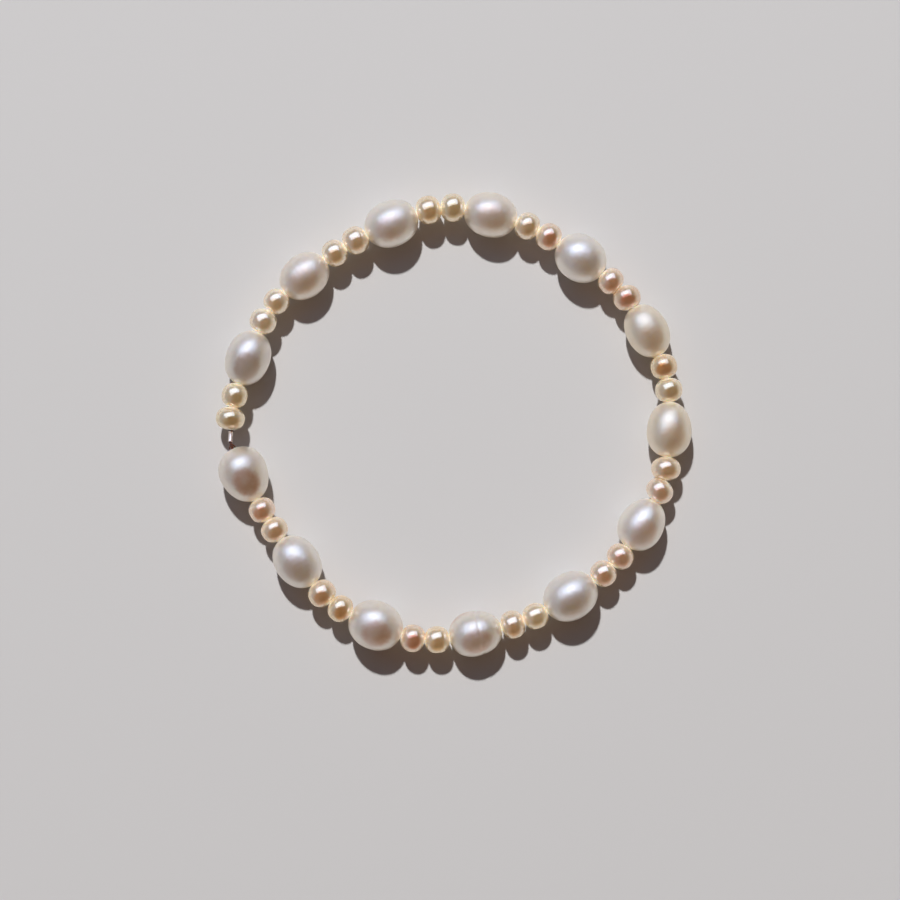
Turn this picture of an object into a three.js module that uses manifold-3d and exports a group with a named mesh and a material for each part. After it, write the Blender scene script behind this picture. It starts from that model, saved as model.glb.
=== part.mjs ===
// A pearl bracelet: thirteen large oval pearls with a pair of small button pearls between each two,
// strung on a thin thread. The thread's two ends are knotted and meet in one small crimp tube, so
// the bracelet is a closed loop. It lies flat, with the large pearls resting on the table.
// Millimetres, +Z up. The origin is the centre of the loop, on the table.

import * as THREE from 'three';
import { mergeVertices } from 'three/addons/utils/BufferGeometryUtils.js';
import Module from 'manifold-3d';

// Driving dimensions. A length runs along the drilled axis, a width across it.
const LARGE_LENGTH = 6.9;
const LARGE_WIDTH = 6.1;
const SMALL_LENGTH = 2.95;
const SMALL_WIDTH = 3.65;
const THREAD_DIAMETER = 0.24;
const KNOT_LENGTH = 0.75;
const KNOT_DIAMETER = 0.56;
const CRIMP_LENGTH = 1.5;
const CRIMP_WALL = 0.09;
const CRIMP_LIP = 0.03;

// Clearances that keep the loose pieces apart.
const PEARL_GAP = 0.15;
const HOLE_CLEARANCE = 0.24;
const CRIMP_CLEARANCE = 0.125;
const THREAD_END_GAP = 0.3;

// Shape of the pearls: the straight band round the middle is a share of the length, and the
// roundness bends the ends from a true half ellipse (1) towards a flatter, fuller one (less).
const LARGE_BAND = 0.1;
const SMALL_BAND = 0.16;
const LARGE_ROUNDNESS = 0.97;
const SMALL_ROUNDNESS = 0.9;

// Facets: sides round the axis, and rows from a hole's mouth to the band.
const LARGE_SIDES = 16;
const LARGE_ROWS = 6;
const SMALL_SIDES = 12;
const SMALL_ROWS = 4;
const CRIMP_SIDES = 16;
const THREAD_SIDES = 8;
const KNOT_SIDES = 10;
const KNOT_WRAPS = 3;

// The colours of the nacre.
const NACRE = {
  silver: 0xd5d3cf,
  warm_white: 0xdcd4cc,
  rose_white: 0xddceca,
  champagne: 0xddcdb8,
  cream: 0xd8c5a8,
  gold: 0xdac090,
  olive_gold: 0xbfa976,
  copper_rose: 0xca9c84,
  peach: 0xd6ae8c,
};

// The large pearls in their order on the thread, clockwise from the crimp tube. Length and width are
// shares of LARGE_LENGTH and LARGE_WIDTH; fattest is where the widest place lies, as a share of the
// length from the pearl's first end; nacre names its colour.
const LARGE_PEARLS = [
  { length: 1.02, width: 0.98, fattest: 0.5, nacre: 'silver' },
  { length: 0.96, width: 0.95, fattest: 0.5, nacre: 'warm_white' },
  { length: 1.0, width: 1.02, fattest: 0.5, nacre: 'rose_white' },
  { length: 0.98, width: 0.98, fattest: 0.5, nacre: 'warm_white' },
  { length: 0.97, width: 1.02, fattest: 0.5, nacre: 'silver' },
  { length: 1.01, width: 0.93, fattest: 0.5, nacre: 'champagne' },
  { length: 1.02, width: 0.98, fattest: 0.55, nacre: 'champagne' },
  { length: 0.99, width: 0.97, fattest: 0.56, nacre: 'rose_white' },
  { length: 1.03, width: 1.04, fattest: 0.5, nacre: 'silver' },
  { length: 0.98, width: 1.0, fattest: 0.54, nacre: 'rose_white' },
  { length: 1.01, width: 1.07, fattest: 0.5, nacre: 'rose_white' },
  { length: 1.02, width: 0.97, fattest: 0.5, nacre: 'silver' },
  { length: 1.03, width: 1.05, fattest: 0.58, nacre: 'rose_white' },
];

// The small pearls in their order on the thread, two before each large pearl. Length and width are
// shares of SMALL_LENGTH and SMALL_WIDTH.
const SMALL_PEARLS = [
  { length: 0.95, width: 1.07, nacre: 'olive_gold' },
  { length: 1.02, width: 0.96, nacre: 'olive_gold' },
  { length: 1.01, width: 0.99, nacre: 'cream' },
  { length: 1.0, width: 0.93, nacre: 'cream' },
  { length: 1.0, width: 0.99, nacre: 'cream' },
  { length: 1.05, width: 1.04, nacre: 'peach' },
  { length: 1.05, width: 1.04, nacre: 'gold' },
  { length: 1.02, width: 1.04, nacre: 'olive_gold' },
  { length: 1.0, width: 1.01, nacre: 'cream' },
  { length: 1.01, width: 1.01, nacre: 'copper_rose' },
  { length: 0.96, width: 0.99, nacre: 'copper_rose' },
  { length: 0.98, width: 1.01, nacre: 'copper_rose' },
  { length: 1.02, width: 0.99, nacre: 'gold' },
  { length: 1.0, width: 0.99, nacre: 'olive_gold' },
  { length: 0.98, width: 1.07, nacre: 'peach' },
  { length: 0.95, width: 1.01, nacre: 'copper_rose' },
  { length: 1.0, width: 0.99, nacre: 'copper_rose' },
  { length: 1.02, width: 0.99, nacre: 'copper_rose' },
  { length: 1.04, width: 0.96, nacre: 'gold' },
  { length: 0.99, width: 1.04, nacre: 'peach' },
  { length: 1.05, width: 1.0, nacre: 'gold' },
  { length: 1.01, width: 1.01, nacre: 'copper_rose' },
  { length: 0.98, width: 0.99, nacre: 'gold' },
  { length: 1.05, width: 1.04, nacre: 'peach' },
  { length: 0.98, width: 0.99, nacre: 'peach' },
  { length: 0.98, width: 0.99, nacre: 'copper_rose' },
];
const SMALL_PER_LARGE = SMALL_PEARLS.length / LARGE_PEARLS.length;

// The way the string lies on the table, clockwise from the crimp tube, seen from above. The curve
// through these points is drawn out to the length of the string.
const ROUTE = [
  [-28.5, -1.8], [-28.2, 2.3], [-26.1, 8.6], [-23.4, 14.7], [-18.9, 19.2], [-13.6, 22.9],
  [-7.7, 26.0], [-1.3, 28.0], [5.2, 27.2], [11.3, 25.0], [16.9, 21.5], [22.0, 17.4],
  [25.7, 12.1], [28.1, 6.1], [28.5, -0.6], [27.7, -7.2], [25.0, -13.1], [21.0, -18.4],
  [15.6, -22.5], [9.7, -25.5], [3.3, -27.2], [-3.3, -28.1], [-9.8, -26.1], [-15.6, -23.0],
  [-19.8, -17.8], [-23.6, -12.4], [-26.8, -6.5],
];
const ROUTE_DIVISIONS = 3000;

const HOLE_RADIUS = THREAD_DIAMETER / 2 + HOLE_CLEARANCE;
const UP = new THREE.Vector3(0, 0, 1);

function nacreFinish(name) {
  return new THREE.MeshStandardMaterial({ color: NACRE[name], roughness: 0.15, metalness: 0.0 });
}

function polishedMetal() {
  return new THREE.MeshStandardMaterial({ color: 0xd9d6d2, roughness: 0.15, metalness: 1.0 });
}

function threadFibre() {
  return new THREE.MeshStandardMaterial({ color: 0x8a5f45, roughness: 0.5, metalness: 0.0 });
}

// Half of a pearl's outline, from the edge of its hole to its widest place: points of a half
// ellipse given as the distance from the widest place and the distance from the axis.
function endOutline(reach, radius, rows, roundness) {
  const mouth = Math.asin((HOLE_RADIUS / radius) ** (1 / roundness));
  const full = Math.cos(mouth) ** roundness;
  const points = [];
  for (let row = 0; row <= rows; row += 1) {
    const angle = mouth + (Math.PI / 2 - mouth) * (row / rows);
    const along = reach * (Math.cos(angle) ** roundness) / full;
    points.push({ along, out: radius * Math.sin(angle) ** roundness });
  }
  return points;
}

// A drilled pearl about its own Y axis, its two mouths at half a length from the middle. The
// flats of its sides lie at half its width, so that one of them can rest on the table.
function pearlGeometry({ length, width, fattest, band, rows, sides, roundness }) {
  const radius = width / 2 / Math.cos(Math.PI / sides);
  const bandLength = length * band;
  const widest = length * (fattest - 0.5);
  const lowReach = length / 2 + widest - bandLength / 2;
  const highReach = length / 2 - widest - bandLength / 2;
  const profile = [];
  for (const { along, out } of endOutline(lowReach, radius, rows, roundness)) {
    profile.push(new THREE.Vector2(out, widest - bandLength / 2 - along));
  }
  for (const { along, out } of endOutline(highReach, radius, rows, roundness).reverse()) {
    profile.push(new THREE.Vector2(out, widest + bandLength / 2 + along));
  }
  profile.push(profile[0].clone());
  return new THREE.LatheGeometry(profile, sides, Math.PI / sides);
}

// The crimp tube about its own Y axis: a short open tube with softened lips.
function crimpGeometry() {
  const bore = THREAD_DIAMETER / 2 + CRIMP_CLEARANCE;
  const outer = bore + CRIMP_WALL;
  const half = CRIMP_LENGTH / 2;
  const profile = [
    new THREE.Vector2(bore, -half),
    new THREE.Vector2(outer - CRIMP_LIP, -half),
    new THREE.Vector2(outer, -half + CRIMP_LIP),
    new THREE.Vector2(outer, half - CRIMP_LIP),
    new THREE.Vector2(outer - CRIMP_LIP, half),
    new THREE.Vector2(bore, half),
    new THREE.Vector2(bore, -half),
  ];
  return new THREE.LatheGeometry(profile, CRIMP_SIDES);
}

// The knot about its own Y axis: a barrel of wraps side by side, closed on the axis.
function knotGeometry() {
  const wrapLength = KNOT_LENGTH / KNOT_WRAPS;
  const core = (KNOT_DIAMETER + THREAD_DIAMETER) / 4;
  const profile = [new THREE.Vector2(0, -KNOT_LENGTH / 2)];
  for (let wrap = 0; wrap < KNOT_WRAPS; wrap += 1) {
    const start = -KNOT_LENGTH / 2 + wrap * wrapLength;
    profile.push(new THREE.Vector2(core, start));
    profile.push(new THREE.Vector2(KNOT_DIAMETER / 2, start + wrapLength / 4));
    profile.push(new THREE.Vector2(KNOT_DIAMETER / 2, start + wrapLength * 3 / 4));
  }
  profile.push(new THREE.Vector2(core, KNOT_LENGTH / 2));
  profile.push(new THREE.Vector2(0, KNOT_LENGTH / 2));
  return new THREE.LatheGeometry(profile, KNOT_SIDES);
}

// A path that has one section at each of its points, and is straight between them.
class ThreadPath extends THREE.Curve {
  constructor(points) {
    super();
    this.points = points;
  }

  getPoint(t) {
    const place = Math.min(Math.max(t, 0), 1) * (this.points.length - 1);
    const index = Math.min(Math.floor(place), this.points.length - 2);
    return this.points[index].clone().lerp(this.points[index + 1], place - index);
  }

  getPointAt(t) {
    return this.getPoint(t);
  }

  getTangentAt(t) {
    return this.getTangent(t);
  }
}

// The pieces in their order on the string, starting and ending in the middle of the crimp tube.
// Each has the length that it takes up along the string.
function stringOrder() {
  const pieces = [{ kind: 'crimp', length: CRIMP_LENGTH / 2 }];
  LARGE_PEARLS.forEach((large, index) => {
    for (let copy = 0; copy < SMALL_PER_LARGE; copy += 1) {
      const number = index * SMALL_PER_LARGE + copy;
      const small = SMALL_PEARLS[number];
      pieces.push({ kind: 'small', number, length: small.length * SMALL_LENGTH });
    }
    pieces.push({ kind: 'large', number: index, length: large.length * LARGE_LENGTH });
  });
  pieces.push({ kind: 'knot', length: KNOT_LENGTH });
  pieces.push({ kind: 'crimp', length: CRIMP_LENGTH / 2 });
  return pieces;
}

// The height of the thread at each joint between pieces: the middle of a large pearl that rests
// on the table, and between two large pearls an even slope.
function jointHeights(pieces) {
  const heightOf = (piece) => LARGE_PEARLS[piece.number].width * LARGE_WIDTH / 2;
  const larges = pieces.map((piece, index) => ({ piece, index })).filter((item) => item.piece.kind === 'large');
  const count = pieces.length - 1;
  const stops = [];
  for (const { piece, index } of larges) {
    stops.push({ at: index, height: heightOf(piece) });
    stops.push({ at: index + 1, height: heightOf(piece) });
  }
  const first = stops[0];
  const last = stops[stops.length - 1];
  stops.unshift({ at: last.at - count - 1, height: last.height });
  stops.push({ at: first.at + count + 1, height: first.height });
  const heights = [];
  for (let joint = 0; joint <= pieces.length; joint += 1) {
    const next = stops.findIndex((stop) => stop.at >= joint);
    const after = stops[next];
    const before = stops[Math.max(next - 1, 0)];
    const share = after.at === before.at ? 0 : (joint - before.at) / (after.at - before.at);
    heights.push(before.height + (after.height - before.height) * share);
  }
  return heights;
}

// The joints between the pieces, in the middle of each gap, along the route drawn out to the
// string's length. The first and the last joint are the middle of the crimp tube.
function jointPoints(pieces) {
  const route = new THREE.CatmullRomCurve3(ROUTE.map(([x, y]) => new THREE.Vector3(x, y, 0)), true);
  route.arcLengthDivisions = ROUTE_DIVISIONS;
  const stringLength = pieces.reduce((sum, piece) => sum + piece.length, 0) + PEARL_GAP * (pieces.length - 1);
  const scale = stringLength / route.getLength();
  const heights = jointHeights(pieces);
  const points = [];
  let along = 0;
  pieces.forEach((piece, index) => {
    const point = route.getPointAt(along / stringLength).multiplyScalar(scale);
    points.push(point.setZ(heights[index]));
    const gaps = index === 0 || index === pieces.length - 1 ? 0.5 : 1;
    along += piece.length + PEARL_GAP * gaps;
  });
  points.push(points[0].clone());
  return points;
}

// Places a mesh made about its own Y axis so that this axis runs from one joint to the next.
function placeBetween(mesh, from, to) {
  const axis = to.clone().sub(from).normalize();
  const side = new THREE.Vector3().crossVectors(axis, UP).normalize();
  const top = new THREE.Vector3().crossVectors(side, axis);
  mesh.quaternion.setFromRotationMatrix(new THREE.Matrix4().makeBasis(side, axis, top));
  mesh.position.copy(from).add(to).multiplyScalar(0.5);
}

function largePearl(number) {
  const row = LARGE_PEARLS[number];
  const geometry = pearlGeometry({
    length: row.length * LARGE_LENGTH,
    width: row.width * LARGE_WIDTH,
    fattest: row.fattest,
    band: LARGE_BAND,
    rows: LARGE_ROWS,
    sides: LARGE_SIDES,
    roundness: LARGE_ROUNDNESS,
  });
  const mesh = new THREE.Mesh(geometry, nacreFinish(row.nacre));
  mesh.name = `large_pearl_${String(number + 1).padStart(2, '0')}`;
  return mesh;
}

function smallPearl(number) {
  const row = SMALL_PEARLS[number];
  const geometry = pearlGeometry({
    length: row.length * SMALL_LENGTH,
    width: row.width * SMALL_WIDTH,
    fattest: 0.5,
    band: SMALL_BAND,
    rows: SMALL_ROWS,
    sides: SMALL_SIDES,
    roundness: SMALL_ROUNDNESS,
  });
  const mesh = new THREE.Mesh(geometry, nacreFinish(row.nacre));
  mesh.name = `small_pearl_${String(number + 1).padStart(2, '0')}`;
  return mesh;
}

// A closed solid ready to be joined, from a geometry and the place of its mesh.
function solidOf(wasm, geometry, matrix) {
  const bare = geometry.clone();
  bare.deleteAttribute('normal');
  bare.deleteAttribute('uv');
  if (matrix) {
    bare.applyMatrix4(matrix);
  }
  const merged = mergeVertices(bare);
  return new wasm.Manifold(new wasm.Mesh({
    numProp: 3,
    vertProperties: new Float32Array(merged.attributes.position.array),
    triVerts: new Uint32Array(merged.index.array),
  }));
}

function geometryOf(solid) {
  const mesh = solid.getMesh();
  const geometry = new THREE.BufferGeometry();
  geometry.setAttribute('position', new THREE.BufferAttribute(new Float32Array(mesh.vertProperties), 3));
  geometry.setIndex(new THREE.BufferAttribute(new Uint32Array(mesh.triVerts), 1));
  geometry.computeVertexNormals();
  return geometry;
}

// The thread and its knot in one body: it starts in the crimp tube, passes through every pearl
// and ends in the crimp tube again, a little short of where it started.
function thread(wasm, joints) {
  const lastJoint = joints.length - 1;
  const intoFirst = joints[1].clone().sub(joints[0]).setLength(THREAD_END_GAP / 2);
  const intoLast = joints[lastJoint - 1].clone().sub(joints[lastJoint]).setLength(THREAD_END_GAP / 2);
  const points = [
    joints[0].clone().add(intoFirst),
    ...joints.slice(1, lastJoint),
    joints[lastJoint].clone().add(intoLast),
  ];
  const section = new THREE.Shape();
  for (let side = 0; side < THREAD_SIDES; side += 1) {
    const angle = side / THREAD_SIDES * 2 * Math.PI;
    const x = Math.cos(angle) * THREAD_DIAMETER / 2;
    const y = Math.sin(angle) * THREAD_DIAMETER / 2;
    if (side === 0) {
      section.moveTo(x, y);
    } else {
      section.lineTo(x, y);
    }
  }
  const strand = new THREE.ExtrudeGeometry(section, {
    steps: points.length - 1,
    extrudePath: new ThreadPath(points),
  });
  const knot = new THREE.Mesh(knotGeometry());
  placeBetween(knot, joints[lastJoint - 2], joints[lastJoint - 1]);
  knot.updateMatrix();
  const body = solidOf(wasm, strand).add(solidOf(wasm, knot.geometry, knot.matrix));
  const mesh = new THREE.Mesh(geometryOf(body), threadFibre());
  mesh.name = 'thread';
  return mesh;
}

function crimpTube(joints) {
  const mesh = new THREE.Mesh(crimpGeometry(), polishedMetal());
  mesh.name = 'crimp_tube';
  placeBetween(mesh, joints[joints.length - 2], joints[1]);
  mesh.position.copy(joints[0]);
  return mesh;
}

function buildBracelet(wasm) {
  const bracelet = new THREE.Group();
  const pieces = stringOrder();
  const joints = jointPoints(pieces);
  pieces.forEach((piece, index) => {
    if (piece.kind === 'large' || piece.kind === 'small') {
      const pearl = piece.kind === 'large' ? largePearl(piece.number) : smallPearl(piece.number);
      placeBetween(pearl, joints[index], joints[index + 1]);
      bracelet.add(pearl);
    }
  });
  bracelet.add(crimpTube(joints));
  bracelet.add(thread(wasm, joints));
  const box = new THREE.Box3().setFromObject(bracelet, true);
  const middle = box.getCenter(new THREE.Vector3());
  bracelet.position.set(-middle.x, -middle.y, -box.min.z);
  return bracelet;
}

const wasm = await Module();
wasm.setup();

export default buildBracelet(wasm);
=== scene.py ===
"""A pearl bracelet lying flat: large oval pearls, pairs of small button pearls, a crimp tube and
the knotted thread, dressed in nacre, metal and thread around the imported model."""

import logging
import math
from dataclasses import dataclass, field
from enum import Enum

import bpy
import numpy as np
from bpy.types import ID, Material, Node, NodeSocket, NodeTree, Object
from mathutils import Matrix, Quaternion, Vector


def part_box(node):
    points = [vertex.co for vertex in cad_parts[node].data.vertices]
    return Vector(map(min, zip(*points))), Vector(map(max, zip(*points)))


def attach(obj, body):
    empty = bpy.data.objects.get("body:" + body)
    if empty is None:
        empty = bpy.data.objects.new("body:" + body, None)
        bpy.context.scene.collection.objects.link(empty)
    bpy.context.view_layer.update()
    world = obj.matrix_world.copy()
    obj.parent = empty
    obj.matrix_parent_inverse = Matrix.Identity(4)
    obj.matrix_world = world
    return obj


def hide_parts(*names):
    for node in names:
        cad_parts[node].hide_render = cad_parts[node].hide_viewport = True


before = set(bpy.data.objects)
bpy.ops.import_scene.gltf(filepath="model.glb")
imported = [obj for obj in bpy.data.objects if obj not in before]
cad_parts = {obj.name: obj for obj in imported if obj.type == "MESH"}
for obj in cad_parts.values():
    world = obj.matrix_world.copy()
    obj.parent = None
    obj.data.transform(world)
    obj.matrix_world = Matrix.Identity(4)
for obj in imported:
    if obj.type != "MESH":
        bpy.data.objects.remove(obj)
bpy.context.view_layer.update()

LOG = logging.getLogger("bracelet")
MM = 0.001
BODY = "root"
UP = np.array([0.0, 0.0, 1.0])
LARGE_COUNT = 13
SMALL_PER_LARGE = 2
LARGE_SIDES = 16
SMALL_SIDES = 12
# Seeds the patches of deeper colour, whose main one is painted core shade.
BLUSH_AND_CORE_SHADE_SEED = 1000
Array = np.ndarray
Pair = tuple[float, float]
Triple = tuple[float, float, float]
Colour = Triple
Inputs = dict[str | int, object]


def srgb(red: int, green: int, blue: int) -> Colour:
    """Turns a colour as seen on a screen into the linear colour that a shader takes.

    Args:
        red: Red from 0 to 255.
        green: Green from 0 to 255.
        blue: Blue from 0 to 255.

    Returns:
        The three linear values from 0 to 1.
    """
    seen = np.array([red, green, blue]) / 255.0
    low = seen / 12.92
    high = ((seen + 0.055) / 1.055) ** 2.4
    linear = np.where(seen <= 0.04045, low, high)
    return (float(linear[0]), float(linear[1]), float(linear[2]))


def unit(vector: Array) -> Array:
    """Returns the vector at length one."""
    return vector / np.linalg.norm(vector)


def angles(count: int) -> Array:
    """Returns that many angles evenly round a circle."""
    return np.linspace(0, 2 * np.pi, count, endpoint=False)


class Tone(Enum):
    """The kinds of nacre, each with a material slot's name as its value."""

    SILVER = "silver_nacre"
    WARM_WHITE = "warm_white_nacre"
    ROSE_WHITE = "rose_white_nacre"
    CHAMPAGNE = "champagne_nacre"
    CREAM = "cream_nacre"
    GOLD = "gold_nacre"
    OLIVE_GOLD = "olive_gold_nacre"
    COPPER_ROSE = "copper_rose_nacre"
    PEACH = "peach_nacre"


class Shown(Enum):
    """The surfaces that a lamp lights."""

    MATT = "matt"
    GLOSS = "gloss"


@dataclass(frozen=True)
class StrungSolid:
    """Where one solid of the string lies in the model, in metres.

    Attributes:
        start: Middle of its first mouth.
        end: Middle of its second mouth.
        radius: Distance from the axis to the flats of its sides.
        widest: How far along from start to end its widest place is, as a share.
    """

    start: Array
    end: Array
    radius: float
    widest: float

    @property
    def axis(self) -> Array:
        """The direction from the first mouth to the second."""
        return unit(self.end - self.start)

    @property
    def length(self) -> float:
        """The distance between the mouths."""
        return float(np.linalg.norm(self.end - self.start))

    @property
    def middle(self) -> Array:
        """The point half way between the mouths."""
        return (self.start + self.end) / 2

    @property
    def directions(self) -> tuple[Array, Array, Array]:
        """Its own upward, sideways and axis directions."""
        side = unit(np.cross(self.axis, UP))
        return np.cross(side, self.axis), side, self.axis

    def posed(self, lean: float, tilt: float, shift: Pair) -> "StrungSolid":
        """Turns the solid about its middle and moves it.

        Args:
            lean: The turn to the left seen from above, in radians.
            tilt: How far its far end then goes down, in radians.
            shift: How far it moves to the right and towards the far side.

        Returns:
            The solid in its new place.
        """
        middle = self.middle + np.array([*shift, 0.0])
        turn = Quaternion((1.0, 0.0, 0.0), -tilt) @ Quaternion(UP, lean)
        start, end = (
            middle + np.array(turn @ Vector(point - self.middle))
            for point in (self.start, self.end)
        )
        return StrungSolid(start, end, self.radius, self.widest)


@dataclass
class StringOrder:
    """The solids on the thread in their order round the loop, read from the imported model.

    Attributes:
        mouth_depth: How far in from its outermost corners a mouth's ring is looked for.
        turns: How often the axis is looked for again from the mouths found.
        widest_band: How far inside the widest corner others still count as widest.
        crimp_lean: How far the crimp tube hangs askew on the thread, seen from above.
        crimp_tilt: How far its far end hangs lower than its near end.
        crimp_shift: How far it hangs to the right of its solid, and to the far side.
        names: The solids' names, from the crimp tube round to the last large pearl.
    """

    mouth_depth: float = 0.1 * MM
    turns: int = 5
    widest_band: float = 0.01 * MM
    crimp_lean: float = math.radians(-10)
    crimp_tilt: float = math.radians(17.5)
    crimp_shift: Pair = (0.13 * MM, 0.03 * MM)
    names: list[str] = field(default_factory=list)

    def __post_init__(self) -> None:
        """Lists the names."""
        self.names = ["crimp_tube"]
        for large in range(1, LARGE_COUNT + 1):
            first = SMALL_PER_LARGE * (large - 1) + 1
            self.names += [f"small_pearl_{first + copy:02d}" for copy in range(SMALL_PER_LARGE)]
            self.names.append(f"large_pearl_{large:02d}")

    def box_middle(self, name: str) -> Array:
        """Returns the middle of a node's box."""
        low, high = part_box(name)
        return (np.array(low) + np.array(high)) / 2

    def read(self, name: str) -> StrungSolid:
        """Finds a solid's axis from its own corners.

        The axis is first taken along the line between its neighbours' middles. The corners
        that lie outermost along it are the rings of the two mouths, and the line between
        the rings' middles is a truer axis, which is looked for a few times over.

        Args:
            name: The node's name.

        Returns:
            The solid's ends, radius and widest place.
        """
        place = self.names.index(name)
        before = self.box_middle(self.names[place - 1])
        after = self.box_middle(self.names[(place + 1) % len(self.names)])
        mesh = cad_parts[name].data
        corners = np.empty(len(mesh.vertices) * 3)
        mesh.vertices.foreach_get("co", corners)
        corners = np.unique(np.round(corners.reshape(-1, 3), 7), axis=0)
        axis = unit(after - before)
        for _ in range(self.turns):
            along = corners @ axis
            start = corners[along < along.min() + self.mouth_depth].mean(axis=0)
            end = corners[along > along.max() - self.mouth_depth].mean(axis=0)
            axis = unit(end - start)
        along = (corners - start) @ axis
        out = np.linalg.norm(corners - start - along[:, None] * axis, axis=1)
        widest = along[out > out.max() - self.widest_band].mean() / np.linalg.norm(end - start)
        sides = LARGE_SIDES if name.startswith("large") else SMALL_SIDES
        radius = float(out.max()) * math.cos(math.pi / sides)
        found = StrungSolid(start, end, radius, float(widest))
        if name == "crimp_tube":
            return found.posed(self.crimp_lean, self.crimp_tilt, self.crimp_shift)
        return found


def add_object(name: str, data: ID) -> Object:
    """Puts a mesh, a light or a camera into the scene.

    Args:
        name: The new object's name.
        data: What it shows.

    Returns:
        The object, lying at the origin.
    """
    made = bpy.data.objects.new(name, data)
    bpy.context.scene.collection.objects.link(made)
    return made


def sheet_mesh(name: str, grid: Array, closed_rows: bool, fields: dict[str, Array]) -> Object:
    """Makes a smooth mesh from a grid of points that is closed round each row.

    Args:
        name: The new object's name.
        grid: Points in metres, rows by columns by three. Columns run round the axis.
        closed_rows: Whether the last row joins the first. If not, both ends get a cap.
        fields: Named values for each point, rows by columns.

    Returns:
        The object, linked to the scene and lying at the origin.
    """
    rows, columns, _ = grid.shape
    index = np.arange(rows * columns).reshape(rows, columns)
    here = index if closed_rows else index[:-1]
    there = np.roll(index, -1, axis=0)[: len(here)]
    quads = np.stack([here, np.roll(here, -1, axis=1), np.roll(there, -1, axis=1), there], axis=-1)
    faces = [tuple(face) for face in quads.reshape(-1, 4).tolist()]
    if not closed_rows:
        faces.append(tuple(index[0][::-1].tolist()))
        faces.append(tuple(index[-1].tolist()))
    mesh = bpy.data.meshes.new(name)
    mesh.from_pydata(grid.reshape(-1, 3).tolist(), [], faces)
    mesh.polygons.foreach_set("use_smooth", np.ones(len(faces), dtype=bool))
    for field_name, values in fields.items():
        layer = mesh.attributes.new(field_name, "FLOAT", "POINT")
        layer.data.foreach_set("value", np.ascontiguousarray(values.reshape(-1), dtype=np.float32))
    mesh.update()
    return add_object(name, mesh)


def swept(path: Array, radius: float, sides: int) -> Array:
    """Carries a circle along an open path.

    At each point the circle stands square to the path. Its first direction is the world's up
    with its part along the path taken away.

    Args:
        path: Points in metres, count by three.
        radius: The circle's radius.
        sides: Points round the circle.

    Returns:
        A grid of points, count by sides by three.
    """
    along = np.gradient(path, axis=0)
    along /= np.linalg.norm(along, axis=1, keepdims=True)
    first = UP - (along @ UP)[:, None] * along
    first /= np.linalg.norm(first, axis=1, keepdims=True)
    second = np.cross(along, first)
    angle = angles(sides)
    ring = np.cos(angle)[None, :, None] * first[:, None, :]
    ring = ring + np.sin(angle)[None, :, None] * second[:, None, :]
    return path[:, None, :] + radius * ring


def smooth_path(points: Array, steps: int, closed: bool) -> Array:
    """Draws a smooth path through points.

    Between each two points the path is the cubic whose slope at a point is half the step from
    the point before it to the point after it. An open path's end points stand twice.

    Args:
        points: Points in metres, count by three.
        steps: New points for each of the old ones.
        closed: Whether the path goes back to its first point.

    Returns:
        The path's points.
    """
    before, after, beyond = (np.roll(points, -shift, axis=0) for shift in (-1, 1, 2))
    if not closed:
        before[0], after[-1], beyond[-2] = points[0], points[-1], points[-1]
    share = (np.arange(steps) / steps)[None, :, None]
    start, end = points[:, None, :], after[:, None, :]
    slope_start = (end - before[:, None, :]) / 2
    slope_end = (beyond[:, None, :] - start) / 2
    cube, square = share ** 3, share ** 2
    path = (2 * cube - 3 * square + 1) * start + (cube - 2 * square + share) * slope_start
    path = path + (-2 * cube + 3 * square) * end + (cube - square) * slope_end
    if closed:
        return path.reshape(-1, 3)
    return np.concatenate([path[:-1].reshape(-1, 3), points[-1:]])


def set_inputs(node: Node, values: Inputs) -> None:
    """Gives a node's inputs their values, or wires from other nodes' outputs.

    Args:
        node: The node.
        values: The value or the output for each input, by the input's name or number.
    """
    for socket, value in values.items():
        if isinstance(value, NodeSocket):
            node.id_data.links.new(value, node.inputs[socket])
        else:
            node.inputs[socket].default_value = value


def add_node(
    tree: NodeTree, kind: str, inputs: Inputs | None = None, **settings: object
) -> Node:
    """Adds a shader node.

    Args:
        tree: The tree that it goes into.
        kind: The name of its type after "ShaderNode".
        inputs: Values or wires for its inputs, by name or number.
        settings: Values for its own properties, which are set before the inputs.

    Returns:
        The new node.
    """
    made = tree.nodes.new(f"ShaderNode{kind}")
    for name, value in settings.items():
        setattr(made, name, value)
    set_inputs(made, inputs or {})
    return made


def attribute(tree: NodeTree, name: str) -> NodeSocket:
    """Adds a node that reads the mesh's own values of that name."""
    return add_node(tree, "Attribute", attribute_name=name).outputs["Fac"]


def sum_up(tree: NodeTree, operation: str, *values: float | NodeSocket) -> NodeSocket:
    """Adds a node that works one sum out from its values."""
    made = add_node(tree, "Math", dict(enumerate(values)), operation=operation)
    return made.outputs["Value"]


def mix(tree: NodeTree, factor: NodeSocket, first: object, second: object) -> NodeSocket:
    """Adds a node that goes from the first colour to the second as the factor grows."""
    values = {"Factor": factor, "A": first, "B": second}
    return add_node(tree, "Mix", values, data_type="RGBA").outputs["Result"]


def spread(tree: NodeTree, share: NodeSocket, low: float, high: float) -> NodeSocket:
    """Adds a node that spreads a share of 0 to 1 evenly over low to high."""
    values = {"Value": share, "To Min": low, "To Max": high}
    return add_node(tree, "MapRange", values).outputs["Result"]


def soft_range(
    tree: NodeTree, value: NodeSocket, low: float, high: float, most: float = 1.0
) -> NodeSocket:
    """Adds a node that spreads the values from low to high softly over 0 to the most."""
    values = {"Value": value, "From Min": low, "From Max": high, "To Max": most}
    return add_node(tree, "MapRange", values, interpolation_type="SMOOTHSTEP").outputs["Result"]


def bump(tree: NodeTree, height: NodeSocket, strength: float, depth: float) -> NodeSocket:
    """Adds a node that makes a height tell as relief of that strength and depth."""
    values = {"Height": height, "Strength": strength, "Distance": depth}
    return add_node(tree, "Bump", values).outputs["Normal"]


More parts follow.
